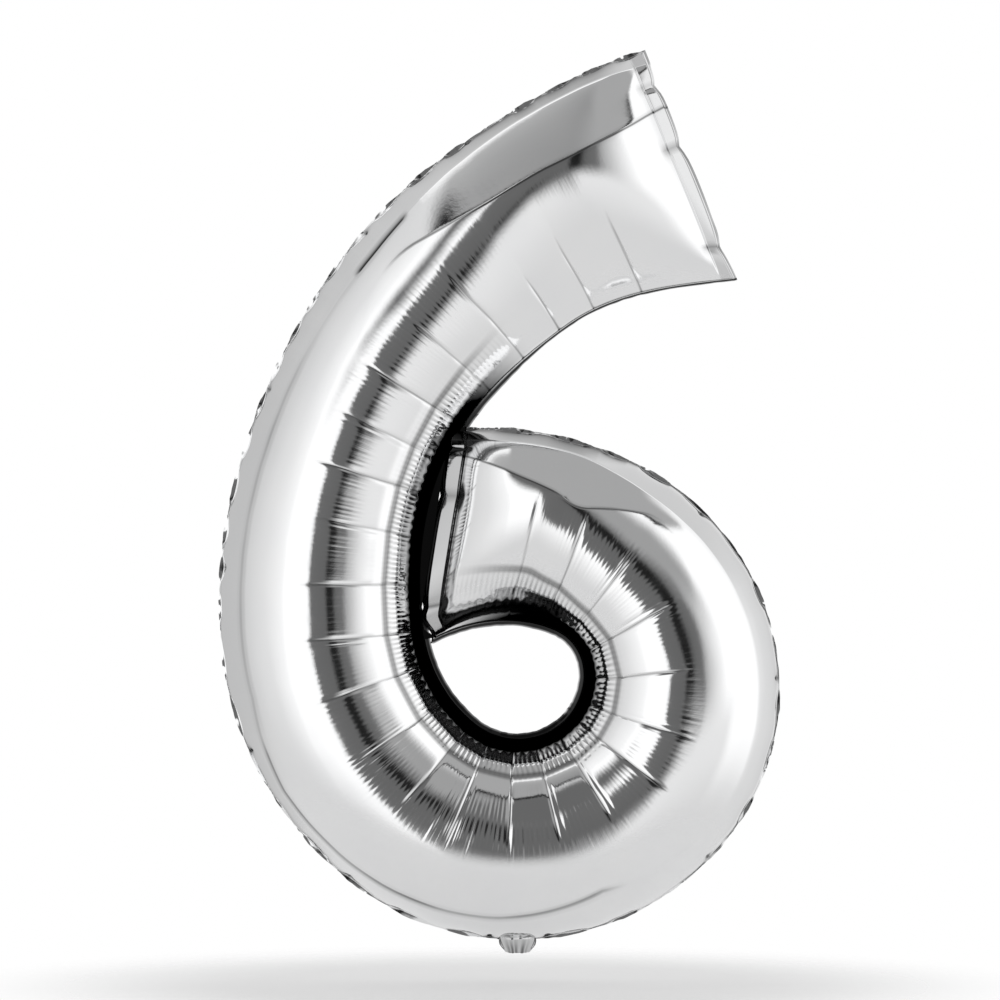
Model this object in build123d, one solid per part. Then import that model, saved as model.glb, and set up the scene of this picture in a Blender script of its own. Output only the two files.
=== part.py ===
from build123d import *
from math import cos, sin, pi, radians
import os

# Foil number balloon, the figure 6, inflated. Millimetres.
# The 6 is one air-filled stroke: it starts at the slanted top end, runs down the stem, round the
# bowl, and stops at the bowl end, whose edge lies beside the stem.
# X is to the right, +Y to the back, +Z up. The seam between the two film panels lies in the plane
# Y = 0. The origin is the lowest point of the seam, where the filling neck leaves the bowl.

# ---- the stroke -------------------------------------------------------------------------------
START_HEADING = 186.6              # direction of the stroke at the top end, degrees from +X
SPINE_ARCS = [                     # radius and turn (degrees) of each arc, from top end to bowl end
    (442, 43.9),
    (412, 44.4),
    (233, 47.2),
    (161, 87.2),
    (144, 106.0),
    (228, 50.6),
]
HALF_WIDTHS = [115.5, 99.5, 91.5, 96.5, 95.5, 95.5, 88.0, 95.0]  # at equal steps along the spine
TOP_SKEW = 50.0                    # the outer seam starts this much after the inner one
BOWL_SKEW = 84.0                   # the outer seam stops this much before the inner one
SKEW_REACH = 260.0                 # length over which a slanted end becomes a square section
HALF_DEPTH = 86.0                  # front of the film to the seam plane
END_REACH = 105.0                  # length over which the film rises from an end seam to full depth

# ---- film, rim and neck -----------------------------------------------------------------------
FILM = 0.8                         # stands in for a laminate of about 0.04
RIM = 6.0                          # width of the heat-sealed rim outside the chamber
WEB = 24.0                         # sealed web from the bowl end across to the stem
VALVE_FILM = 0.3                   # stands in for a film of about 0.05
NECK_WIDTH = 34.0
VALVE_WIDTH = 26.0
HINGE_DROP = 15.0                  # crease of the neck below the seam
CREASE_GAP = 1.7                   # from the crease to the film on either side of it
NECK_LENGTH = 46.0                 # from the crease to the mouth
VALVE_OVERHANG = 6.0               # the valve film stands out of the neck's mouth by this much
VALVE_INSIDE = 95.0                # length of the valve inside the chamber
FOLD_AT_REST = 115.0               # the neck is folded back by this much from hanging straight down
MOUTH_CORNER = 8.0

END_PATCHES = 3                    # surface patches along each rising end
BODY_PATCHES = 26                  # surface patches along the full-depth stretch
QUARTER = 0.5523                   # control-point reach that makes a cubic curve a quarter ellipse
RIM_STEP = 25.0                    # spacing of the points on the rim's outline


def spine_length():
    return sum(radius * radians(turn) for radius, turn in SPINE_ARCS)


LENGTH = spine_length()


def spine_from_start(s):
    """Point (x, z) and heading at length s, with the spine's start at (0, 0)."""
    x, z, heading = 0.0, 0.0, radians(START_HEADING)
    for i, (radius, turn) in enumerate(SPINE_ARCS):
        length = radius * radians(turn)
        last = i == len(SPINE_ARCS) - 1
        step = s if last else min(s, length)
        ahead = heading + step / radius
        x += radius * (sin(ahead) - sin(heading))
        z -= radius * (cos(ahead) - cos(heading))
        heading = ahead
        s -= step
        if s <= 0:
            break
    return x, z, heading


def half_width(s):
    """Half the inflated width, eased between the stated stations."""
    place = min(max(s / LENGTH, 0), 0.999999) * (len(HALF_WIDTHS) - 1)
    i = int(place)
    ease = (1 - cos(pi * (place - i))) / 2
    return HALF_WIDTHS[i] * (1 - ease) + HALF_WIDTHS[i + 1] * ease


def edge_from_start(s, side, grow=0.0):
    """Point of the outer (side 1) or inner (side -1) seam, moved out by grow."""
    x, z, heading = spine_from_start(s)
    reach = side * (half_width(s) + grow)
    return x + reach * sin(heading), z - reach * cos(heading)


def lowest_outer_point():
    """The outer seam is lowest where the stroke heads along +X, a full turn from the start."""
    turned = 360 - START_HEADING
    s = 0.0
    for radius, turn in SPINE_ARCS:
        part = min(turned, turn)
        s += radius * radians(part)
        turned -= part
    return edge_from_start(s, 1)


NECK_X, NECK_Z = lowest_outer_point()


def skewed(s, side):
    """Station of the outer seam that pairs with station s of the inner seam."""
    if side < 0:
        return s
    from_top = max(0.0, 1 - s / SKEW_REACH) ** 2
    from_bowl = max(0.0, 1 - (LENGTH - s) / SKEW_REACH) ** 2
    return s + TOP_SKEW * from_top - BOWL_SKEW * from_bowl


def seam_point(s, side, grow=0.0):
    """Point of a seam in the part's frame, at y = 0."""
    x, z = edge_from_start(skewed(s, side), side, grow)
    return Vector(x - NECK_X, 0, z - NECK_Z)


# ---- the two film panels ------------------------------------------------------------------------
def station(zone, share):
    """Length along the inner seam and depth (0 to 1) in the top end, the body or the bowl end."""
    if zone == 1:
        return END_REACH + (LENGTH - 2 * END_REACH) * share, 1.0
    angle = share * pi / 2 if zone == 0 else (1 - share) * pi / 2
    from_end = END_REACH * (1 - cos(angle))
    return (from_end if zone == 0 else LENGTH - from_end), sin(angle)


def section(zone, share, inset, seam_y, side):
    """Control points of a half-round section, from the outer seam over the front to the inner."""
    s, depth = station(zone, share)
    s = inset + s * (LENGTH - 2 * inset) / LENGTH
    outer, inner = seam_point(s, 1, -inset), seam_point(s, -1, -inset)
    depth *= HALF_DEPTH - FILM
    q = QUARTER
    profile = [(-1, 0), (-1, q), (-q, 1), (0, 1), (q, 1), (1, q), (1, 0)]
    points = []
    for across, rise in profile:
        point = outer + (inner - outer) * ((1 + across) / 2)
        points.append(Vector(point.X, side * (seam_y + depth * rise), point.Z))
    return points


def film_rows(inset, seam_y, side):
    """Rows of control points, four to a patch, from the top end to the bowl end."""
    rows = []
    for zone, count in enumerate([END_PATCHES, BODY_PATCHES, END_PATCHES]):
        step, tiny = 1 / count, 1e-5
        for k in range(count):
            first = section(zone, k * step, inset, seam_y, side)
            after = section(zone, k * step + tiny, inset, seam_y, side)
            before = section(zone, (k + 1) * step - tiny, inset, seam_y, side)
            last = section(zone, (k + 1) * step, inset, seam_y, side)
            reach = step / tiny / 3
            second = [p + (q - p) * reach for p, q in zip(first, after)]
            third = [p + (q - p) * reach for p, q in zip(last, before)]
            rows.append([first, second, third, last])
    return rows


def film_faces(rows):
    """The curved faces of one side of the film: an outer and an inner half for every patch."""
    faces = []
    for patch in rows:
        faces.append(Face.make_bezier_surface([row[:4] for row in patch]))
        faces.append(Face.make_bezier_surface([row[3:] for row in patch]))
    return faces


def film_boundary(rows):
    """The closed line where that side of the film meets the rim."""
    edges = []
    for patch in rows:
        edges.append(Edge.make_bezier(*[row[0] for row in patch]))
        edges.append(Edge.make_bezier(*[row[6] for row in patch]))
    for row in (rows[0][0], rows[-1][-1]):
        edges.append(Edge.make_bezier(*row[:4]))
        edges.append(Edge.make_bezier(*row[3:]))
    return Wire(edges)


def rim_stretch(s0, s1):
    """Flat patch under the stroke from s0 to s1, as wide as the outline of the rim."""
    steps = round((s1 - s0) / RIM_STEP)
    places = [s0 + (s1 - s0) * k / steps for k in range(steps + 1)]
    outer = [seam_point(s, 1, RIM) for s in places]
    inner = [seam_point(s, -1, RIM) for s in places]
    return Face(Wire([
        Edge.make_spline(outer),
        Edge.make_line(outer[-1], inner[-1]),
        Edge.make_spline(inner),
        Edge.make_line(inner[0], outer[0]),
    ]))


def rim_end(first, last, reach):
    """Flat strip beyond an end seam; the end lies to the left of the line from first to last."""
    along = (last - first).normalized()
    out = Vector(-along.Z, 0, along.X)
    corners = [first - out, last - out, last + out * reach, first + out * reach]
    return Face(Wire.make_polygon(corners))


def rim_outline():
    """The rim's flat region in the seam plane: all round the stroke, with the neck's root."""
    half, root_bottom = NECK_WIDTH / 2, CREASE_GAP - HINGE_DROP
    neck_root = Wire.make_polygon([
        Vector(-half, 0, root_bottom),
        Vector(half, 0, root_bottom),
        Vector(half, 0, FILM),
        Vector(-half, 0, FILM),
    ])
    region = rim_stretch(0, LENGTH / 2)
    region += rim_stretch(LENGTH / 2, LENGTH)
    region += rim_end(seam_point(0, 1, RIM), seam_point(0, -1, RIM), RIM)
    region += rim_end(seam_point(LENGTH, -1, RIM), seam_point(LENGTH, 1, RIM), WEB)
    region += Face(neck_root)
    return region.faces()[0]


def panel(side):
    """A film panel: the shell over the chamber and the flat rim round it, as one solid."""
    outside, inside = film_rows(0, FILM, side), film_rows(FILM, 0, side)
    flat = rim_outline()
    outline, counter = flat.outer_wire(), list(flat.inner_wires())
    lift = Location((0, side * FILM, 0))
    faces = film_faces(outside) + film_faces(inside)
    faces.append(Face(outline, counter + [film_boundary(inside)]))
    raised = [wire.moved(lift) for wire in counter]
    faces.append(Face(outline.moved(lift), raised + [film_boundary(outside)]))
    for wire in [outline] + counter:
        faces += [Face.extrude(edge, Vector(0, side * FILM, 0)) for edge in wire.edges()]
    return Solid(Shell(faces)) - valve_pocket(side)


def valve_pocket(side):
    """The room that the valve takes between the two panels, where the seal is left open."""
    bottom = -HINGE_DROP
    pocket = Box(VALVE_WIDTH, VALVE_FILM, FILM * 3 - bottom)
    return Pos(0, side * VALVE_FILM / 2, (FILM * 3 + bottom) / 2) * pocket


# ---- the valve inside and the neck --------------------------------------------------------------
def valve_inside(side):
    """One of the two valve films, from the crease up into the chamber."""
    bottom = -HINGE_DROP + CREASE_GAP
    film = Box(VALVE_WIDTH, VALVE_FILM, VALVE_INSIDE - bottom)
    return Pos(0, side * VALVE_FILM / 2, (VALVE_INSIDE + bottom) / 2) * film


def folded(shape):
    """From hanging straight down below the crease to the folded rest position behind it."""
    return shape.rotate(Axis((0, 0, -HINGE_DROP), (1, 0, 0)), FOLD_AT_REST)


def neck_plate(width, thickness, side, length, corner):
    """A plate that hangs from the crease, with rounded corners at its free end."""
    height = length - CREASE_GAP
    middle = -HINGE_DROP - CREASE_GAP - height / 2
    plate = Pos(0, side * thickness / 2, middle) * Box(width, thickness, height)
    free_end = plate.edges().filter_by(Axis.Y).group_by(Axis.Z)[0]
    return fillet(free_end, corner)


def neck_film(side):
    """The part of a film panel beyond the crease, with the room for the valve."""
    plate = neck_plate(NECK_WIDTH, FILM, side, NECK_LENGTH, MOUTH_CORNER)
    room = Pos(0, side * VALVE_FILM / 2, -HINGE_DROP - NECK_LENGTH / 2)
    return folded(plate - room * Box(VALVE_WIDTH, VALVE_FILM, NECK_LENGTH * 2))


def neck_valve(side):
    """The part of a valve film beyond the crease, which stands out of the mouth."""
    length = NECK_LENGTH + VALVE_OVERHANG
    return folded(neck_plate(VALVE_WIDTH, VALVE_FILM, side, length, MOUTH_CORNER / 2))


FRONT, BACK = -1, 1
NODES = {
    "front_panel": panel(FRONT),
    "back_panel": panel(BACK),
    "valve_front_film": valve_inside(FRONT),
    "valve_back_film": valve_inside(BACK),
    "neck_front_film": neck_film(FRONT),
    "neck_back_film": neck_film(BACK),
    "neck_valve_front_film": neck_valve(FRONT),
    "neck_valve_back_film": neck_valve(BACK),
}

os.makedirs("parts", exist_ok=True)
for name, shape in NODES.items():
    export_step(shape, f"parts/{name}.step")
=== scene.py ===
"""Foil number balloon, the figure 6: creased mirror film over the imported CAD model. Metres.

One stroke runs from the top end down and round to the bowl end. A film panel is a grid of points:
columns follow the stroke, at lengths s along its spine, and rows go round the section, at angles
from -90 degrees on the outer seam, through 0 on the ridge, to +90 on the inner seam.
"""
import bpy
import math
import numpy as np
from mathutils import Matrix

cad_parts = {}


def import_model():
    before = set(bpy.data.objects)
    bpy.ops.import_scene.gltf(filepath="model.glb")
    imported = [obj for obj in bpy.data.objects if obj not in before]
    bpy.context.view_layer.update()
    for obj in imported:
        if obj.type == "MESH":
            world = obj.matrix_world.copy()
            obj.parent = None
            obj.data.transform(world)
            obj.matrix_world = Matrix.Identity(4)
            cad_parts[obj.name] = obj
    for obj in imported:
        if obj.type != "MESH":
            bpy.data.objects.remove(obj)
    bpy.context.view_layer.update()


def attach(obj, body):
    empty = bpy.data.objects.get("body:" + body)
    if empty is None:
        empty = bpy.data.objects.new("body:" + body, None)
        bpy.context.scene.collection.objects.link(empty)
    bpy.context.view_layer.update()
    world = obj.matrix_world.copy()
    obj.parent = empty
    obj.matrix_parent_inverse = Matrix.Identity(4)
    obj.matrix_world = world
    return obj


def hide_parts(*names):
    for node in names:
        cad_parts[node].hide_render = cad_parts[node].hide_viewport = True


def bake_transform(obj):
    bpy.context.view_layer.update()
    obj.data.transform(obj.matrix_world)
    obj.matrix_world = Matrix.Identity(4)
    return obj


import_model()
PI = math.pi
FRONT, BACK = -1, 1

# ---- the stroke: its outline is that of the CAD model --------------------------------------------
START_HEADING = math.radians(186.6)
SPINE_ARCS = [          # radius and turn in degrees, from the top end to the bowl end
    (0.442, 43.9),
    (0.412, 44.4),
    (0.233, 47.2),
    (0.161, 87.2),
    (0.144, 106.0),
    (0.228, 50.6),
]
HALF_WIDTHS = [0.1155, 0.0995, 0.0915, 0.0965, 0.0955, 0.0955, 0.0880, 0.0950]
TOP_SKEW, BOWL_SKEW, SKEW_REACH = 0.050, 0.084, 0.260
HALF_DEPTH = 0.0862                       # 0.2 mm proud of the CAD model
TOP_REACH, BOWL_REACH = 0.135, 0.150      # over which the film rises from the end seams
OUTER_REACH = 0.085                       # the same beside the outer seam
LENGTH = sum(radius * math.radians(turn) for radius, turn in SPINE_ARCS)

# ---- the grid ------------------------------------------------------------------------------------
COLUMNS_END = 140       # columns along each rising end
COLUMNS_BODY = 1270     # columns along the full-depth stretch
ROWS = 70               # rows from the outer seam to the inner one
RIM_ROWS = 3            # rows, and columns at the ends, of the welded rim
WEB_ROWS = 6
FILM_GAP = 0.00015      # half the gap between the two films of the rim

# ---- creases, folds and gathers ------------------------------------------------------------------
RIM = 0.0064                        # full width of the welded rim
STRIP_ANGLE = math.radians(-51)     # soft fold that runs along the outer seam
FOLD_ANGLE = math.radians(-14)      # row that follows the long fold of the facets
ROLL_ANGLE = math.radians(49)       # gathered roll beside the inner seam
WALL_ANGLE = math.radians(58)       # where the steep inner wall begins
SECTION_RADIUS = 0.090              # turns an angle of the section into a length
CREASE_SPACING = 0.0555
CREASE_DEPTH = 0.0011
CREASE_WIDTH = 0.0016
COMB_WAVE, COMB_HEIGHT = 0.0047, 0.000080
PUCKER_WAVE = 0.0047
ROLL_HEIGHT, ROLL_GROOVE, NOTCH_DEPTH = 0.0016, 0.0009, 0.0007
TUCK_DEPTH, TUCK_WIDTH = 0.0020, 0.0018
FOLD_DEPTH, CORNER_DEPTH = 0.0011, 0.0016    # of the fold along the outer seam, and of its sharp end
PINCH_SPACING = 0.033
LOBE_DEPTH = 0.0034                 # how far the outer seam is drawn in between pinches
END_PINCH_DEPTH = 0.0045
TOP_STRIP, BOWL_STRIP = 0.018, 0.019        # width of the shelf along each end seam
BOWL_PUSH = 0.016                           # how far the bowl end bulges over the web


def smooth(x):
    x = np.clip(x, 0, 1)
    return x * x * (3 - 2 * x)


def window(x, low, high, soft):
    """1 between low and high, fading to 0 over soft on either side."""
    return smooth((x - low + soft) / soft) * smooth((high + soft - x) / soft)


def bump(x, middle, width):
    return np.exp(-((x - middle) / width) ** 2)


def field(s, t, s_size, t_size, seed):
    """Smooth noise from -1 to 1, with features s_size long along s and t_size along t."""
    lattice = np.random.default_rng(seed).uniform(-1, 1, (256, 64))
    u, v = s / s_size + 60.5, t / t_size + 20.5
    i, j = np.floor(u).astype(int), np.floor(v).astype(int)
    fu, fv = smooth(u - i), smooth(v - j)
    low = lattice[i % 256, j % 64] * (1 - fu) + lattice[(i + 1) % 256, j % 64] * fu
    high = lattice[i % 256, (j + 1) % 64] * (1 - fu) + lattice[(i + 1) % 256, (j + 1) % 64] * fu
    return low * (1 - fv) + high * fv


def wander(s, size, seed):
    """Smooth noise from -1 to 1 along s alone."""
    return field(s, 0.0, size, 1.0, seed)


def stations(spacing, jitter, low, high, seed):
    """Places from low to high, spacing apart give or take jitter."""
    count = int((high - low) / spacing * 1.6) + 4
    steps = spacing * (1 + jitter * np.random.default_rng(seed).uniform(-1, 1, count))
    places = low + np.concatenate([[0], np.cumsum(steps)])
    return places[places <= high]


def between(s, places):
    """Index of the stretch between two places that s lies in, and how far along it is."""
    i = np.clip(np.searchsorted(places, s) - 1, 0, len(places) - 2)
    return i, np.clip((s - places[i]) / (places[i + 1] - places[i]), 0, 1)


# ---- the outline of the figure -------------------------------------------------------------------
def spine(s):
    """Point and heading of the spine at lengths s, with its start at (0, 0)."""
    x, z = np.zeros_like(s), np.zeros_like(s)
    heading, before = START_HEADING, 0.0
    turned = np.full_like(s, START_HEADING)
    for i, (radius, turn) in enumerate(SPINE_ARCS):
        length = radius * math.radians(turn)
        low = -np.inf if i == 0 else 0.0
        high = np.inf if i == len(SPINE_ARCS) - 1 else length
        step = np.clip(s - before, low, high) / radius
        x += radius * (np.sin(heading + step) - np.sin(heading))
        z -= radius * (np.cos(heading + step) - np.cos(heading))
        turned += step
        heading += math.radians(turn)
        before += length
    return x, z, turned


def half_width(s):
    place = np.clip(s / LENGTH, 0, 0.999999) * (len(HALF_WIDTHS) - 1)
    i = place.astype(int)
    ease = (1 - np.cos(PI * (place - i))) / 2
    widths = np.array(HALF_WIDTHS)
    return widths[i] * (1 - ease) + widths[i + 1] * ease


def edge_point(s, side):
    """Points (x, z) of the outer (side 1) or inner (side -1) seam, from the spine's start."""
    x, z, heading = spine(s)
    reach = side * half_width(s)
    return np.stack([x + reach * np.sin(heading), z - reach * np.cos(heading)], -1)


def neck_root():
    """The outer seam's lowest point, where the heading has come round to +X."""
    s, left = 0.0, 2 * PI - START_HEADING
    for radius, turn in SPINE_ARCS:
        part = min(left, math.radians(turn))
        s += radius * part
        left -= part
    return s, edge_point(np.array([s]), 1)[0]


NECK_S, NECK_XZ = neck_root()


def skewed(s):
    """Station of the outer seam that pairs with station s of the inner seam."""
    from_top = np.clip(1 - s / SKEW_REACH, 0, 1) ** 2
    from_bowl = np.clip(1 - (LENGTH - s) / SKEW_REACH, 0, 1) ** 2
    return s + TOP_SKEW * from_top - BOWL_SKEW * from_bowl


def seam(s, side):
    """Points (x, z) of a seam in the object's own frame."""
    return edge_point(skewed(s) if side > 0 else s, side) - NECK_XZ


def end_rise(distance, reach, strip):
    """Share of full depth at distances from an end seam: a shelf along the seam, then a rounded rise."""
    share = distance / strip
    shelf = 0.52 * smooth(share / 0.2) + 0.20 * np.clip((share - 0.2) / 0.7, 0, 1)
    shelf = strip * (shelf + 0.42 * smooth((share - 0.92) / 0.22))
    distance = np.where(share < 1.14, shelf, distance)
    return np.sqrt(1 - (1 - np.clip(distance / reach, 0, 1)) ** 2)


def stations_of_columns():
    """Stations of the columns, closer together towards the end seams."""
    turn = np.arange(COLUMNS_END) / COLUMNS_END * PI / 2
    top, bowl = TOP_REACH * (1 - np.cos(turn)), BOWL_REACH * (1 - np.cos(turn))
    body = np.linspace(TOP_REACH, LENGTH - BOWL_REACH, COLUMNS_BODY)
    return np.concatenate([top, body, LENGTH - bowl[::-1]])


def depth_share(s, angle):
    """Share of full depth for each column and row."""
    s = s[:, None]
    inner = smooth((angle + 0.95) / 1.1)
    share = 1.0
    for from_end, reach, strip in ((s, TOP_REACH, TOP_STRIP), (LENGTH - s, BOWL_REACH, BOWL_STRIP)):
        beside_seam = end_rise(from_end, OUTER_REACH, strip)
        share = share * (beside_seam * (1 - inner) + end_rise(from_end, reach, strip) * inner)
    return share


def base_angles():
    """Angles of the rows, closer together along the folds and at the seams."""
    fine = np.linspace(-PI / 2, PI / 2, 4001)
    density = 1 + 2.4 * bump(fine, ROLL_ANGLE, 0.15) + 1.2 * bump(fine, -PI / 2, 0.3)
    density += 3.0 * bump(fine, STRIP_ANGLE, 0.03) + 3.0 * bump(fine, FOLD_ANGLE, 0.03)
    density += 0.6 * bump(fine, PI / 2, 0.2)
    reach = np.cumsum(density)
    reach = (reach - reach[0]) / (reach[-1] - reach[0])
    return np.interp(np.linspace(0, 1, ROWS), reach, fine)


def strip_line(s):
    """Angle of the fold along the outer seam, which wanders towards the ridge before the neck."""
    place = [0.70, 0.77, 0.845, 0.945, 1.016, 1.09]
    return np.radians(np.interp(s, place, [-51, -61, -58, -50, -40, -51]))


def facet_edge(s):
    """Angle of the long fold that bounds the flat facet at either end of the stroke."""
    top, bowl = 0.0, 0.0
    spread = np.linspace(-1, 1, 9)
    for offset in spread:
        top = top + np.interp(s + 0.030 * offset, [0.0, 0.04, 0.12, 0.19, 0.25, 0.32, 0.40],
                              [-14, -6, -1, -3, -17, -40, -14])
        bowl = bowl + np.interp(s + 0.012 * offset, [1.25, 1.33, 1.40, 1.47, 1.545],
                                [-14, -41, -4, -16, -33])
    return np.radians(np.where(s < LENGTH / 2, top, bowl) / len(spread))


def row_angles(s):
    """Angle of each column and row: two of the rows follow the folds wherever they go."""
    base = base_angles()
    knots = [-PI / 2, STRIP_ANGLE, FOLD_ANGLE, math.radians(40), PI / 2]
    angle = np.empty((len(s), ROWS))
    for column, (strip, fold) in enumerate(zip(strip_line(s), facet_edge(s))):
        angle[column] = np.interp(base, knots, [-PI / 2, strip, fold, knots[3], PI / 2])
    return angle


CREASES = stations(CREASE_SPACING, 0.13, 0.118, LENGTH - 0.085, 31)
PINCHES = stations(PINCH_SPACING, 0.22, -0.02, LENGTH + 0.03, 12)
TUCKS = np.array([0.119, 0.203, 0.310, 0.455, 0.600, 0.735, 0.845,
                  NECK_S - 0.017, NECK_S - 0.006, NECK_S + 0.007, NECK_S + 0.018,
                  1.085, 1.200, 1.310, 1.396, 1.435])
END_PINCHES = np.array([-0.50, 0.16, 0.85])     # where the end seams are gathered, across them


# ---- the section ---------------------------------------------------------------------------------
def ridge_shift(s):
    """How far the ridge leans towards the outer seam near the two ends, in half widths."""
    return 0.33 * smooth((0.33 - s) / 0.18) + 0.30 * smooth((s - 1.33) / 0.10)


def facet_zone(s):
    """1 along the flat facets, 0 elsewhere."""
    return window(s, -0.1, 0.29, 0.04) + window(s, 1.36, 1.6, 0.04)


def off_facet(s, angle):
    """0 on the flat facets, 1 on the rest of the film."""
    beyond = smooth((angle - facet_edge(s)[:, None] - 0.03) / 0.14)
    return 1 - facet_zone(s)[:, None] * (1 - beyond)


def shifted(across, shift):
    return (across - shift) / (1 - shift * across)


def flattened(deep, across, shift, low, high, amount):
    """The section's depth with the stretch between two angles drawn towards its chord."""
    x0, x1 = shifted(np.sin(low), shift), shifted(np.sin(high), shift)
    d0, d1 = np.cos(low), np.cos(high)
    chord = d0 + (d1 - d0) * (across - x0) / (x1 - x0)
    inside = (across > x0) & (across < x1)
    return np.where(inside, deep + (chord - deep) * amount, deep)


def section(s, angle):
    """Across, -1 outer to 1 inner, and depth, 0 to 1, for each column and row."""
    s = s[:, None]
    shift = ridge_shift(s)
    across, deep = shifted(np.sin(angle), shift), np.cos(angle)
    strip = 0.24 + 0.5 * window(s, -0.05, 0.34, 0.08) + 0.12 * wander(s, 0.12, 41)
    strip += 0.25 * window(s, 0.76, 1.02, 0.10) + 0.45 * window(s, 1.36, 1.60, 0.08)
    deep = flattened(deep, across, shift, -PI / 2, strip_line(s), np.clip(strip, 0, 0.85))
    deep = flattened(deep, across, shift, strip_line(s), facet_edge(s), 0.85 * facet_zone(s))
    return across, deep


def surface(s, angle, side):
    """Points (columns, rows, 3) of the film before its creases."""
    across, deep = section(s, angle)
    outer, inner = seam(s, 1), seam(s, -1)
    flat = outer[:, None] + (inner - outer)[:, None] * ((1 + across) / 2)[..., None]
    y = side * HALF_DEPTH * depth_share(s, angle) * deep
    return np.stack([flat[..., 0], y, flat[..., 1]], -1)


def away_from_spine(s):
    """Unit vectors in the seam plane from the inner seam to the outer one."""
    line = seam(s, 1) - seam(s, -1)
    line /= np.linalg.norm(line, axis=-1, keepdims=True)
    return np.stack([line[:, 0], np.zeros(len(s)), line[:, 1]], -1)


def normals(points, side):
    along, round_ = np.gradient(points, axis=0), np.gradient(points, axis=1)
    normal = np.cross(round_, along) * side
    return normal / np.maximum(np.linalg.norm(normal, axis=-1, keepdims=True), 1e-12)


# ---- creases of the film: a height off the surface, and for most a painted shade too -------------
def body_weight(s):
    """1 along the stroke, 0 at its ends."""
    return smooth((s - 0.07) / 0.06) * smooth((LENGTH - 0.05 - s) / 0.06)


def hollow_weight(s):
    """1 where the stroke is bent enough to gather the film beside the inner seam."""
    return smooth((s - 0.27) / 0.12) * smooth((LENGTH - 0.005 - s) / 0.14)


def radial_creases(s, angle, seed):
    """Sharp valleys from the inner seam to just past the ridge, some of them double, with a painted
    shade line along each.
    """
    draw = np.random.default_rng(seed)
    strength = draw.uniform(0.45, 1.0, len(CREASES))
    tip = np.radians(draw.uniform(-17, -4, len(CREASES)))
    tip += np.radians(38) * smooth((0.29 - CREASES) / 0.06)
    lean = draw.uniform(-0.004, 0.004, len(CREASES))
    double = draw.uniform(0, 1, len(CREASES)) > 0.55
    nearest = np.abs(s[:, None] - CREASES[None]).argmin(1)
    off = (s - CREASES[nearest])[:, None] - lean[nearest][:, None] * angle
    off = off + 0.0010 * wander(angle + 3 * nearest[:, None], 0.35, seed + 1)
    reach = smooth((angle - tip[nearest][:, None]) / 0.25)
    valley = np.exp(-np.abs(off) / CREASE_WIDTH)
    second = np.exp(-np.abs(off - 0.006) / CREASE_WIDTH) * double[nearest][:, None] * 0.5
    second *= smooth((0.65 - np.abs(angle - 0.1)) / 0.3)
    weight = (strength[nearest] * body_weight(s))[:, None] * reach * off_facet(s, angle)
    # painted shade along the middle of each crease
    line = bump(off, 0, 0.0011) * weight
    return -CREASE_DEPTH * (valley + second) * weight, 1 - 0.62 * line


def comb(s, angle, seed):
    """Fine gathers across the ridge, strongest beside the creases; gives their height."""
    nearest = np.abs(s[:, None] - CREASES[None]).argmin(1)
    off = np.abs(s - CREASES[nearest])
    lively = np.random.default_rng(seed).uniform(0.25, 1.0, len(CREASES))[nearest]
    amount = (0.35 + 0.65 * np.exp(-off / 0.013)) * lively
    places = window(s, 0.12, 0.42, 0.05) + window(s, 0.80, 0.97, 0.04) + window(s, 1.2, 1.42, 0.04)
    places = 0.55 + 0.45 * places
    phase = s + 0.0018 * wander(s, 0.013, seed + 1)
    wave = np.sin(2 * PI * phase / COMB_WAVE) + 0.6 * np.sin(2 * PI * phase / (COMB_WAVE * 1.63))
    start = -0.20 + 0.12 * wander(s, 0.006, seed + 2)
    stop = 0.50 + 0.25 * wander(s, 0.008, seed + 3)
    rows = smooth((angle - start[:, None]) / 0.16) * smooth((stop[:, None] - angle) / 0.25)
    lively_stretch = 1 + 1.2 * window(s, 0.79, 0.94, 0.03) + 0.3 * window(s, 1.20, 1.32, 0.04)
    lively_stretch = lively_stretch * smooth((s - 0.20) / 0.10) * (1 - 0.7 * smooth((s - 1.34) / 0.08))
    wave = wave * amount * places * lively_stretch * body_weight(s)
    return COMB_HEIGHT * wave[:, None] * rows * off_facet(s, angle)


def inner_roll(s, angle, points, seed):
    """The roll beside the inner seam, notched by the gathers, and the steep wall beyond it; gives
    painted shade in the groove and notches, and paints the wall nearly black.
    """
    row = np.abs(base_angles() - ROLL_ANGLE).argmin()
    steps = np.linalg.norm(np.diff(points[:, row], axis=0), axis=1)
    length = np.concatenate([[0], np.cumsum(steps)])
    phase = length + 0.0011 * wander(length, 0.011, seed)
    notch = np.abs(np.cos(PI * phase / PUCKER_WAVE)) ** 3
    notch *= 0.65 + 0.35 * wander(length, 0.02, seed + 1)
    weight = hollow_weight(s)[:, None]
    roll = bump(angle, ROLL_ANGLE, 0.085)
    groove = bump(angle, ROLL_ANGLE - 0.155, 0.045)
    height = weight * (ROLL_HEIGHT * roll - ROLL_GROOVE * groove)
    height -= weight * NOTCH_DEPTH * notch[:, None] * bump(angle, ROLL_ANGLE, 0.12)
    wall = smooth((angle - WALL_ANGLE) / 0.07)
    deep_notch = wall * np.cos(PI * phase / PUCKER_WAVE)[:, None] * smooth((1.3 - angle) / 0.3)
    height += weight * 0.0004 * deep_notch
    # painted reflection: a faint lighter streak along the wall's painted shade
    streak = 0.03 * bump(angle, 1.27, 0.06) * (0.6 + 0.4 * wander(s, 0.05, seed + 3))[:, None]
    # painted shade: dark in the groove beside the roll and in its notches, nearly black on the wall
    light = 1 - weight * (0.85 * bump(angle, ROLL_ANGLE - 0.140, 0.028))
    light *= 1 - weight * 0.65 * notch[:, None] * bump(angle, ROLL_ANGLE, 0.11)
    return height, light * (1 - weight * wall * (0.975 - streak))


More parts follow.
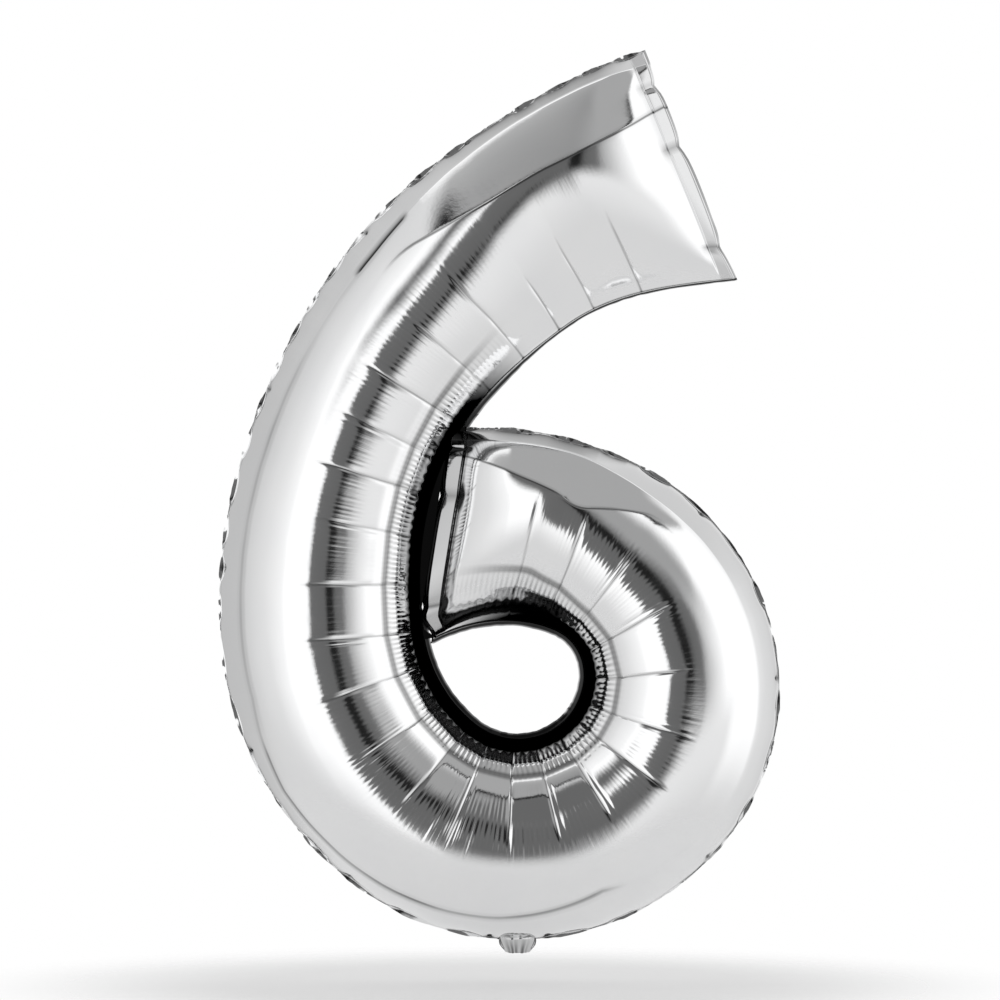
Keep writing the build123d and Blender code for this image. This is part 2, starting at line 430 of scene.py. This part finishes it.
def slack(s, angle, seed):
    """Height of the whole film's slow unevenness and of long streaks along its outer half."""
    t = angle * SECTION_RADIUS
    s = s[:, None]
    height = 0.00030 * field(s, t, 0.075, 0.045, seed)
    height = height + 0.00006 * field(s, t, 0.020, 0.016, seed + 1)
    outer = smooth((0.0 - angle) / 0.5) * smooth((angle + 1.5) / 0.2)
    return height + 0.00015 * field(s, t, 0.11, 0.0075, seed + 2) * outer


def outer_folds(s, angle, seed):
    """Tucks that run in from the outer seam, the fold along it, and the long folds of the facets, each
    with painted shade along it.
    """
    s_outer = skewed(s)
    nearest = np.abs(s_outer[:, None] - TUCKS[None]).argmin(1)
    off = (s_outer - TUCKS[nearest])[:, None]
    from_seam = (angle + PI / 2) * SECTION_RADIUS
    tuck = np.exp(-np.abs(off) / TUCK_WIDTH) * smooth((0.030 - from_seam) / 0.014)
    strength = 0.45 * window(s, 0.45, NECK_S - 0.20, 0.06)
    strength += window(s, NECK_S - 0.20, NECK_S + 0.05, 0.03)
    strength = np.minimum(strength, 1) * (0.75 + 0.35 * wander(s, 0.025, seed + 1))
    along = bump(angle, strip_line(s)[:, None], 0.026) * strength[:, None]
    edge = bump(angle, facet_edge(s)[:, None], 0.012) * facet_zone(s)[:, None]
    corner = bump(angle, strip_line(s)[:, None], 0.030) * window(s, 0.284, 0.335, 0.010)[:, None]
    # painted shade: dark lines along the tucks, the fold by the outer seam, its sharp end and the
    # facets' long folds
    light = (1 - 0.60 * tuck) * (1 - 0.74 * along) * (1 - 0.88 * edge) * (1 - 0.96 * corner)
    return -TUCK_DEPTH * tuck - FOLD_DEPTH * along - CORNER_DEPTH * corner, light


def seam_lobes(s, seed):
    """The lobes of the outer seam between its pinches, from 0 to 1 at each column."""
    i, f = between(skewed(s), PINCHES)
    size = np.random.default_rng(seed).uniform(0.0, 1.0, len(PINCHES))[i] ** 0.45
    lobe = np.sin(PI * np.clip((f - 0.14) / 0.72, 0, 1)) ** 0.8
    return lobe * size


def panel_points(side, seed):
    """Points of one film panel over the chamber, with their stations, angles and light."""
    s = stations_of_columns()
    angle = row_angles(s)
    points = surface(s, angle, side)

    # between two creases the inner half runs nearly straight
    i, f = between(s, CREASES)
    ends = surface(CREASES, row_angles(CREASES), side)
    chord = ends[i] * (1 - f)[:, None, None] + ends[i + 1] * f[:, None, None]
    inside = body_weight(s) * smooth((s - CREASES[0]) / 0.12) * smooth((CREASES[-1] - s) / 0.04)
    weight = 0.75 * inside[:, None] * window(angle, 0.15, 0.85, 0.45) * off_facet(s, angle)
    points += (chord - points) * weight[..., None]

    normal, away = normals(points, side), away_from_spine(s)
    roll, roll_light = inner_roll(s, angle, points, seed)
    crease, crease_light = radial_creases(s, angle, seed + 10)
    fold, fold_light = outer_folds(s, angle, seed + 20)
    rise = smooth(np.minimum(s, LENGTH - s) / 0.05)[:, None]
    beside_facet = smooth((angle - facet_edge(s)[:, None] + 0.1) / 0.2)
    taut = 1 - 0.85 * facet_zone(s)[:, None] * (1 - beside_facet)
    height = crease + comb(s, angle, seed + 30) + fold + roll + slack(s, angle, seed + 40) * taut
    seams = smooth((angle + PI / 2) / 0.12) * smooth((PI / 2 - angle) / 0.08)
    points += normal * (height * seams * rise)[..., None]

    # the outer seam is drawn in by lobes, and the end seams by their own pinches
    from_seam = (angle + PI / 2) * SECTION_RADIUS
    drawn = LOBE_DEPTH * seam_lobes(s, 7)[:, None] * np.exp(-from_seam / 0.020)
    points -= away[:, None] * drawn[..., None]
    end_light = gather_ends(points, s, angle)
    return points, s, angle, away, crease_light * roll_light * fold_light * end_light


def gather_ends(points, s, angle):
    """Bulges the bowl end out and draws both end seams in at their pinches, a fold running in from each.

    Gives the light: painted shade in those folds and on the shelves along the end seams.
    """
    across = np.sin(base_angles())
    light = np.ones(angle.shape)
    top, bowl = (0, s, 0.0, TOP_STRIP, 0.20), (-1, LENGTH - s, BOWL_PUSH, BOWL_STRIP, 0.38)
    for edge, from_end, push, strip, shade in (top, bowl):
        inward = end_direction(points[edge], edge)
        bulge = np.exp(-from_end / 0.030)[:, None] * smooth((1 - across ** 2) / 0.2)[None]
        points -= inward * (push * bulge)[..., None]
        for place in END_PINCHES:
            near = np.abs(across - place)[None]
            drawn = END_PINCH_DEPTH * np.exp(-near / 0.075) * np.exp(-from_end / 0.010)[:, None]
            points += inward * drawn[..., None]
            reach = smooth((0.030 - from_end) / 0.012)[:, None]
            points[..., 1] *= 1 - 0.13 * np.exp(-near / 0.016) * reach
            light *= 1 - 0.6 * np.exp(-(near / 0.014) ** 2) * reach
        light *= 1 - shade * window(from_end, 0, 0.9 * strip, 0.002)[:, None]
    return light


def end_direction(line, edge):
    """Unit vector from an end seam into the stroke."""
    along = line[-1] - line[0]
    along /= np.linalg.norm(along)
    return np.array([along[2], 0, -along[0]]) * (1 if edge == 0 else -1)


# ---- the welded rim and the web ------------------------------------------------------------------
def with_rim(points, s, away, side):
    """The panel's points with the flat rim's rows and columns round them."""
    lobes = seam_lobes(s, 7)
    ripple = 0.0013 * wander(s, 0.013, 21) + 0.0006 * wander(s, 0.005, 22)
    width = RIM * (0.16 + 0.76 * lobes + 0.08 * wander(s, 0.004, 24))
    beside_web = smooth((s - 0.43) / 0.03) * smooth((0.66 - s) / 0.03)
    inner_width = RIM * (0.40 + 0.50 * smooth((s - 0.25) / 0.1) + 0.06 * wander(s, 0.01, 23))
    inner_width *= 1 - 0.96 * beside_web
    tilt = 0.0022 * (0.8 + 0.2 * wander(s, 0.02, 25))
    outer_rows, inner_rows = [], []
    for share in np.arange(1, RIM_ROWS + 1) / RIM_ROWS:
        out = points[:, 0] + away * (width * share)[:, None]
        out[:, 1] = side * FILM_GAP + ripple * share
        outer_rows.insert(0, out)
        inward = points[:, -1] - away * (inner_width * share)[:, None]
        inward[:, 1] = side * FILM_GAP + tilt * share
        inner_rows.append(inward)
    rows = [np.stack(outer_rows, 1), points, np.stack(inner_rows, 1)]
    points = np.concatenate(rows, 1)
    first, last = [], []
    for share in np.arange(1, RIM_ROWS + 1) / RIM_ROWS:
        for edge, store in ((0, first), (-1, last)):
            line = points[edge]
            width = RIM * (0.45 + 0.15 * wander(np.arange(len(line)) * 0.003, 0.02, 26))
            column = line - end_direction(line, edge) * (width * share)[:, None]
            column[:, 1] = side * FILM_GAP + 0.0010 * share
            store.append(column)
    return np.concatenate([np.stack(first[::-1]), points, np.stack(last)], 0)


def web_points(side):
    """Flat film between the bowl end's seam and the inner seam of the stem beside it."""
    outer, inner = seam(np.array([LENGTH]), 1)[0], seam(np.array([LENGTH]), -1)[0]
    share = np.linspace(0.0, 1.0, 120)[:, None]
    line = (inner - outer) / np.linalg.norm(inner - outer)
    push = BOWL_PUSH * smooth(share * (1 - share) / 0.05)
    bowl_side = outer + (inner - outer) * share + np.array([line[1], -line[0]]) * push
    places = np.linspace(0.36, 0.70, 1500)
    stem = seam(places, -1)
    gap = np.linalg.norm(bowl_side[:, None] - stem[None], axis=-1)
    nearest = np.maximum.accumulate(gap.argmin(1))
    stem_side = stem[nearest]
    step = np.linspace(0.0, 1.0, WEB_ROWS)[None, :, None]
    flat = bowl_side[:, None] * (1 - step) + stem_side[:, None] * step
    y = np.full(flat.shape[:2], side * FILM_GAP * 2)
    return np.stack([flat[..., 0], y, flat[..., 1]], -1)


# ---- meshes --------------------------------------------------------------------------------------
def grid_mesh(name, points, side, light=None, film=None):
    """A smooth-shaded mesh through a grid of points, facing away from the seam plane.

    light is painted shade that darkens the film, point by point. film is a place on the flat film and,
    third, how far the drawn streaks show there.
    """
    columns_count, rows_count = points.shape[:2]
    index = np.arange(columns_count * rows_count).reshape(columns_count, rows_count)
    quads = np.stack([index[:-1, :-1], index[1:, :-1], index[1:, 1:], index[:-1, 1:]], -1).reshape(-1, 4)
    if side > 0:
        quads = quads[:, ::-1]
    mesh = bpy.data.meshes.new(name)
    mesh.from_pydata(points.reshape(-1, 3).tolist(), [], quads.tolist())
    mesh.shade_smooth()
    if light is None:
        light = np.ones(points.shape[:2])
    if film is None:
        film = np.zeros_like(points)
    shade = mesh.attributes.new("light", "FLOAT", "POINT")
    shade.data.foreach_set("value", light.reshape(-1).astype(np.float32))
    place = mesh.attributes.new("film", "FLOAT_VECTOR", "POINT")
    place.data.foreach_set("vector", film.reshape(-1).astype(np.float32))
    piece = bpy.data.objects.new(name, mesh)
    bpy.context.scene.collection.objects.link(piece)
    return piece


def build_panel(name, side, seed):
    points, s, angle, away, light = panel_points(side, seed)
    comb_zone = window(angle, -0.15, 0.55, 0.2) * body_weight(s)[:, None] * off_facet(s, angle)
    film = np.stack([np.broadcast_to(s[:, None], angle.shape), angle * SECTION_RADIUS, comb_zone], -1)
    points = with_rim(points, s, away, side)
    pad = ((RIM_ROWS, RIM_ROWS), (RIM_ROWS, RIM_ROWS))
    light = np.pad(light, pad, mode="edge")
    # painted shade: the inner rim's rows are nearly black beside the wall, the outermost lighter
    light[:, -RIM_ROWS:] = np.array([0.04, 0.04, 0.75])
    film = np.pad(film, pad + ((0, 0),), mode="edge")
    return grid_mesh(name, points, side, light, film)


def build_web(name, side):
    points = web_points(side)
    # painted shade: the web is painted nearly black all over
    light = np.full(points.shape[:2], 0.03)
    return grid_mesh(name, points, side, light)


# ---- the neck ------------------------------------------------------------------------------------
NECK_TOP = 0.006            # the neck's film starts this far above the seam
HINGE_DROP = 0.015
BEND_RADIUS = 0.003
NECK_FOLD = math.radians(115)
NECK_LENGTH = 0.046
NECK_COLUMNS, NECK_ROWS = 90, 49
VALVE_HALF_WIDTH = 0.0130
VALVE_INSIDE, VALVE_OUTSIDE = 0.089, 0.006      # its reach above the neck's top and past its mouth


def neck_path(t):
    """Point (y, z) and heading of the neck's middle line, straight down, round the fold and back."""
    bend = BEND_RADIUS * NECK_FOLD
    tangent = BEND_RADIUS * math.tan(NECK_FOLD / 2)
    straight = NECK_TOP + HINGE_DROP - tangent
    down = np.minimum(t, straight)
    turn = np.clip((t - straight) / bend, 0, 1) * NECK_FOLD
    beyond = np.maximum(t - straight - bend, 0)
    y = BEND_RADIUS * (1 - np.cos(turn)) + beyond * math.sin(NECK_FOLD)
    z = NECK_TOP - down - BEND_RADIUS * np.sin(turn) - beyond * math.cos(NECK_FOLD)
    return y, z, turn


def neck_length():
    tangent = BEND_RADIUS * math.tan(NECK_FOLD / 2)
    return NECK_TOP + HINGE_DROP - 2 * tangent + BEND_RADIUS * NECK_FOLD + NECK_LENGTH


def build_neck(name, side, seed):
    """One film of the neck, gathered at the fold and open at the mouth."""
    total = neck_length()
    t = np.linspace(0, total, NECK_COLUMNS)[:, None]
    x = np.linspace(-1, 1, NECK_ROWS)[None]
    y, z, turn = neck_path(t)
    fold_at = NECK_TOP + HINGE_DROP
    gathered = bump(t, fold_at, 0.011)
    width = 0.0180 - 0.0062 * gathered
    puff = 0.0085 * bump(t, 0.007, 0.010) + 0.0012 + 0.0020 * bump(t, fold_at + 0.014, 0.009)
    belly = np.clip(1 - (x / 0.90) ** 2, 0, 1) ** 0.7
    pleat = np.abs(wander(x + 0.02 * t / total, 0.26, seed)) * gathered * 0.0022
    facets = 0.0016 * field(t, x * 0.02, 0.009, 0.007, seed + 1) * belly
    pinched = 1 - 0.72 * bump(t, fold_at - 0.001, 0.0075)
    thick = FILM_GAP + (puff + pleat + facets) * belly * pinched
    across = x * width * (1 + 0.03 * wander(t, 0.008, seed + 2))
    points = np.stack([
        across,
        y + side * thick * np.cos(turn),
        z + side * thick * np.sin(turn),
    ], -1)
    # painted shade: the neck is darker all over, darkest in its pleats
    light = 0.75 - 0.60 * np.clip(pleat / 0.0014, 0, 1) * belly
    film = np.stack(np.broadcast_arrays(across, t, 0 * across), -1)
    return grid_mesh(name, points, side, light, film)


def build_valve(name, side, seed):
    """One film of the valve: flat, from inside the chamber down the neck and just out of its mouth."""
    t = np.linspace(-VALVE_INSIDE, neck_length() + VALVE_OUTSIDE, 160)[:, None]
    x = np.linspace(-1, 1, 13)[None]
    y, z, turn = neck_path(t)
    width = VALVE_HALF_WIDTH - 0.0036 * bump(t, NECK_TOP + HINGE_DROP, 0.014)
    gap = 0.00007 + 0.00004 * np.abs(field(t, x * 0.02, 0.012, 0.006, seed))
    points = np.stack([x * width, y + side * gap * np.cos(turn), z + side * gap * np.sin(turn)], -1)
    return grid_mesh(name, points, side)


# ---- materials -----------------------------------------------------------------------------------
def new_material(name):
    mat = bpy.data.materials.new(name)
    mat.use_nodes = True
    return mat, mat.node_tree.nodes, mat.node_tree.links


def map_range(nodes, links, value, low, high):
    """Noise from 0.3 to 0.7 spread from low to high."""
    node = nodes.new("ShaderNodeMapRange")
    links.new(value, node.inputs["Value"])
    node.inputs["From Min"].default_value = 0.3
    node.inputs["From Max"].default_value = 0.7
    node.inputs["To Min"].default_value = low
    node.inputs["To Max"].default_value = high
    return node.outputs["Result"]


def noise(nodes, links, coordinates, scale, detail=3.0):
    node = nodes.new("ShaderNodeTexNoise")
    node.inputs["Scale"].default_value = scale
    node.inputs["Detail"].default_value = detail
    links.new(coordinates, node.inputs["Vector"])
    return node.outputs["Fac"]


def foil_material():
    """Bright metallised film: a mirror with faint cloudiness, fine crinkles and drawn streaks, darkened
    by the painted shade in the light attribute.
    """
    mat, nodes, links = new_material("silver_foil")
    shader = nodes["Principled BSDF"]
    shader.inputs["Metallic"].default_value = 1.0
    place = nodes.new("ShaderNodeTexCoord").outputs["Object"]
    film = nodes.new("ShaderNodeAttribute")
    film.attribute_name = "film"
    light = nodes.new("ShaderNodeAttribute")
    light.attribute_name = "light"

    cloud = noise(nodes, links, place, 45.0)
    links.new(map_range(nodes, links, cloud, 0.045, 0.10), shader.inputs["Roughness"])

    tint = nodes.new("ShaderNodeMix")
    tint.data_type = "RGBA"
    links.new(noise(nodes, links, place, 18.0), tint.inputs["Factor"])
    tint.inputs["A"].default_value = (0.90, 0.905, 0.915, 1)
    tint.inputs["B"].default_value = (0.955, 0.955, 0.955, 1)
    shaded = nodes.new("ShaderNodeMix")
    shaded.data_type = "RGBA"
    shaded.blend_type = "MULTIPLY"
    shaded.inputs["Factor"].default_value = 1.0
    links.new(tint.outputs["Result"], shaded.inputs["A"])
    # painted shade: the light attribute darkens the base colour and the specular tint
    links.new(light.outputs["Fac"], shaded.inputs["B"])
    links.new(shaded.outputs["Result"], shader.inputs["Base Color"])
    links.new(light.outputs["Fac"], shader.inputs["Specular Tint"])

    stretch = nodes.new("ShaderNodeMapping")
    stretch.inputs["Scale"].default_value = (420.0, 26.0, 0.0)
    links.new(film.outputs["Vector"], stretch.inputs["Vector"])
    drawn = noise(nodes, links, stretch.outputs["Vector"], 1.0, 2.0)
    zone = nodes.new("ShaderNodeSeparateXYZ")
    links.new(film.outputs["Vector"], zone.inputs[0])
    in_zone = nodes.new("ShaderNodeMath")
    in_zone.operation = "MULTIPLY"
    links.new(drawn, in_zone.inputs[0])
    links.new(zone.outputs["Z"], in_zone.inputs[1])
    streaks = nodes.new("ShaderNodeBump")
    streaks.inputs["Strength"].default_value = 0.25
    streaks.inputs["Distance"].default_value = 0.00016
    links.new(in_zone.outputs[0], streaks.inputs["Height"])
    crinkle = nodes.new("ShaderNodeBump")
    crinkle.inputs["Strength"].default_value = 0.2
    crinkle.inputs["Distance"].default_value = 0.0001
    links.new(noise(nodes, links, place, 320.0), crinkle.inputs["Height"])
    links.new(streaks.outputs["Normal"], crinkle.inputs["Normal"])
    links.new(crinkle.outputs["Normal"], shader.inputs["Normal"])
    return mat


def valve_material():
    """Thin translucent film, cloudy and faintly wrinkled."""
    mat, nodes, links = new_material("valve_film")
    shader = nodes["Principled BSDF"]
    shader.inputs["IOR"].default_value = 1.5
    shader.inputs["Transmission Weight"].default_value = 0.55
    place = nodes.new("ShaderNodeTexCoord").outputs["Object"]
    tint = nodes.new("ShaderNodeMix")
    tint.data_type = "RGBA"
    links.new(noise(nodes, links, place, 60.0), tint.inputs["Factor"])
    tint.inputs["A"].default_value = (0.74, 0.78, 0.82, 1)
    tint.inputs["B"].default_value = (0.88, 0.90, 0.92, 1)
    links.new(tint.outputs["Result"], shader.inputs["Base Color"])
    cloud = noise(nodes, links, place, 150.0)
    links.new(map_range(nodes, links, cloud, 0.18, 0.36), shader.inputs["Roughness"])
    wrinkle = nodes.new("ShaderNodeBump")
    wrinkle.inputs["Strength"].default_value = 0.4
    wrinkle.inputs["Distance"].default_value = 0.0004
    links.new(noise(nodes, links, place, 90.0), wrinkle.inputs["Height"])
    links.new(wrinkle.outputs["Normal"], shader.inputs["Normal"])
    return mat


# ---- the studio ----------------------------------------------------------------------------------
FLOOR_Z = -0.045
FLOOR_RADIUS = 0.55
FLOOR_GLOW = 0.75
FLOOR_LIGHT = 0.71          # of the studio's floor beyond the round one


def floor():
    """A pale round floor that fades out towards its rim."""
    mesh = bpy.data.meshes.new("floor")
    count = 96
    turn = np.arange(count) / count * 2 * PI
    rim = np.stack([FLOOR_RADIUS * np.cos(turn), FLOOR_RADIUS * np.sin(turn), 0 * turn], -1)
    mesh.from_pydata(rim.tolist(), [], [list(range(count))])
    piece = bpy.data.objects.new("floor", mesh)
    piece.location = (-0.02, 0, FLOOR_Z)
    bpy.context.scene.collection.objects.link(piece)
    mat, nodes, links = new_material("pale_floor")
    shader = nodes["Principled BSDF"]
    place = nodes.new("ShaderNodeTexCoord").outputs["Object"]
    tint = nodes.new("ShaderNodeMix")
    tint.data_type = "RGBA"
    links.new(noise(nodes, links, place, 6.0), tint.inputs["Factor"])
    tint.inputs["A"].default_value = (0.50, 0.50, 0.50, 1)
    tint.inputs["B"].default_value = (0.53, 0.53, 0.53, 1)
    links.new(tint.outputs["Result"], shader.inputs["Base Color"])
    links.new(tint.outputs["Result"], shader.inputs["Emission Color"])
    shader.inputs["Emission Strength"].default_value = FLOOR_GLOW
    shader.inputs["Roughness"].default_value = 0.7
    ball = nodes.new("ShaderNodeTexGradient")
    ball.gradient_type = "SPHERICAL"
    shrink = nodes.new("ShaderNodeMapping")
    shrink.inputs["Scale"].default_value = (1 / FLOOR_RADIUS,) * 3
    links.new(place, shrink.inputs["Vector"])
    links.new(shrink.outputs["Vector"], ball.inputs["Vector"])
    fade = nodes.new("ShaderNodeMapRange")
    fade.interpolation_type = "SMOOTHSTEP"
    fade.inputs["From Max"].default_value = 0.6
    links.new(ball.outputs["Fac"], fade.inputs["Value"])
    links.new(fade.outputs["Result"], shader.inputs["Alpha"])
    mesh.materials.append(mat)


AROUND = [              # light by azimuth: 0 is the front, 90 the right, 180 behind
    (-180, 0.14), (-171, 0.16), (-166, 0.40), (-155, 0.54), (-97, 0.57), (-90, 0.66),
    (-60, 0.80), (-40, 1.0), (-37, 1.1), (-13, 1.1), (-10, 0.15), (4, 0.13), (7, 0.015),
    (12, 0.015), (16, 0.13), (23, 0.16), (28, 0.42), (40, 0.80), (52, 1.1), (95, 1.1),
    (125, 0.75), (150, 0.66), (163, 0.80), (169, 0.16), (180, 0.12),
]
OVERHEAD = [            # light above 46 degrees by depth: -100 is the front, 100 behind
    (-75, 0.26), (-56, 0.31), (-42, 0.37), (-27, 0.46), (-20, 1.0), (30, 1.05), (42, 0.68),
    (100, 0.62),
]
OVERHEAD_FROM = 46      # elevation, in degrees


def world():
    """Studio light: large pale panels with dark gaps in front and behind, and plain white to the camera.

    The levels were set for the front to reflect what the photo's film reflects.
    """
    w = bpy.data.worlds.new("studio")
    bpy.context.scene.world = w
    w.use_nodes = True
    tree = w.node_tree
    nodes, links = tree.nodes, tree.links
    nodes.clear()

    def feed(socket, value):
        if isinstance(value, (int, float)):
            socket.default_value = value
        else:
            links.new(value, socket)

    def math_node(operation, *values):
        node = nodes.new("ShaderNodeMath")
        node.operation = operation
        for socket, value in zip(node.inputs, values):
            feed(socket, value)
        return node.outputs[0]

    def both(one, other):
        return math_node("MULTIPLY", one, other)

    def outside(mask):
        return math_node("SUBTRACT", 1.0, mask)

    def step(value, at, soft):
        node = nodes.new("ShaderNodeMapRange")
        node.interpolation_type = "SMOOTHSTEP"
        links.new(value, node.inputs["Value"])
        node.inputs["From Min"].default_value = at - soft
        node.inputs["From Max"].default_value = at + soft
        return node.outputs["Result"]

    def band(value, low, high, soft):
        return both(step(value, low, soft), outside(step(value, high, soft)))

    def over(base, mask, value):
        """base where mask is 0, value where it is 1."""
        node = nodes.new("ShaderNodeMix")
        node.data_type = "FLOAT"
        feed(node.inputs[0], mask)
        feed(node.inputs[2], base)
        feed(node.inputs[3], value)
        return node.outputs[0]

    def ramp(value, stops):
        """Piecewise-linear level over the stops' places."""
        node = nodes.new("ShaderNodeValToRGB")
        low, high = stops[0][0], stops[-1][0]
        place = math_node("DIVIDE", math_node("SUBTRACT", value, float(low)), float(high - low))
        links.new(place, node.inputs[0])
        elements = node.color_ramp.elements
        while len(elements) > 1:
            elements.remove(elements[-1])
        for i, (at, level) in enumerate(stops):
            element = elements[0] if i == 0 else elements.new((at - low) / (high - low))
            element.position = (at - low) / (high - low)
            element.color = (level, level, level, 1)
        return node.outputs[0]

    split = nodes.new("ShaderNodeSeparateXYZ")
    links.new(nodes.new("ShaderNodeTexCoord").outputs["Generated"], split.inputs[0])
    x, y, z = split.outputs
    azimuth = math_node("MULTIPLY", math_node("ARCTAN2", x, math_node("MULTIPLY", y, -1.0)), 180 / PI)
    elevation = math_node("MULTIPLY", math_node("ARCSINE", z), 180 / PI)

    front = outside(step(y, -0.3, 0.05))
    behind = step(y, 0.35, 0.1)
    overhead = step(elevation, OVERHEAD_FROM, 1.5)
    value = ramp(azimuth, AROUND)
    value = over(value, both(band(azimuth, 4, 42, 8), band(elevation, 16, 43, 7)), 0.36)
    value = over(value, both(band(azimuth, -30, 10, 5), band(elevation, 16, 43, 5)), 0.14)
    value = over(value, both(band(azimuth, 8, 60, 7), outside(step(elevation, -6, 6))), 0.84)
    value = over(value, overhead, ramp(math_node("MULTIPLY", y, 100.0), OVERHEAD))
    right_front = both(step(azimuth, -12, 14), outside(step(y, 0.08, 0.14)))
    value = over(value, both(overhead, right_front), 0.40)
    value = over(value, both(step(elevation, 26, 12), behind), 0.64)
    value = over(value, both(band(elevation, 44.0, 46.5, 1.0), front), 0.01)
    value = over(value, outside(step(elevation, -24, 13)), FLOOR_LIGHT)
    value = over(value, nodes.new("ShaderNodeLightPath").outputs["Is Camera Ray"], 1.0)
    background = nodes.new("ShaderNodeBackground")
    links.new(value, background.inputs["Color"])
    output = nodes.new("ShaderNodeOutputWorld")
    links.new(background.outputs[0], output.inputs[0])


CAMERA_DISTANCE = 6.0
VIEW_WIDTH = 0.96           # width of the view in the seam plane
VIEW_CENTRE_X, VIEW_CENTRE_Z = -0.0169, 0.4208


def camera():
    cam = bpy.data.objects.new("camera", bpy.data.cameras.new("camera"))
    bpy.context.scene.collection.objects.link(cam)
    cam.data.sensor_width = 36
    cam.data.lens = 36 * CAMERA_DISTANCE / VIEW_WIDTH
    cam.location = (VIEW_CENTRE_X, -CAMERA_DISTANCE, VIEW_CENTRE_Z)
    cam.rotation_euler = (PI / 2, 0, 0)
    bpy.context.scene.camera = cam


# ---- putting it together -------------------------------------------------------------------------
camera()
world()
floor()
foil, valve = foil_material(), valve_material()

for name, side, seed in (("front", FRONT, 100), ("back", BACK, 200)):
    film = build_panel(name + "_film", side, seed)
    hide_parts(name + "_panel")
    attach(film, "balloon")
    web = build_web(name + "_web", side)
    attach(web, "balloon")
    neck = build_neck("neck_" + name, side, seed + 60)
    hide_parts("neck_" + name + "_film")
    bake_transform(neck)
    for piece in (film, web, neck):
        piece.data.materials.append(foil)
    lining = build_valve("valve_" + name, side, seed + 70)
    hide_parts("valve_" + name + "_film", "neck_valve_" + name + "_film")
    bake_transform(lining)
    lining.data.materials.append(valve)

bpy.context.scene.view_settings.view_transform = "Standard"
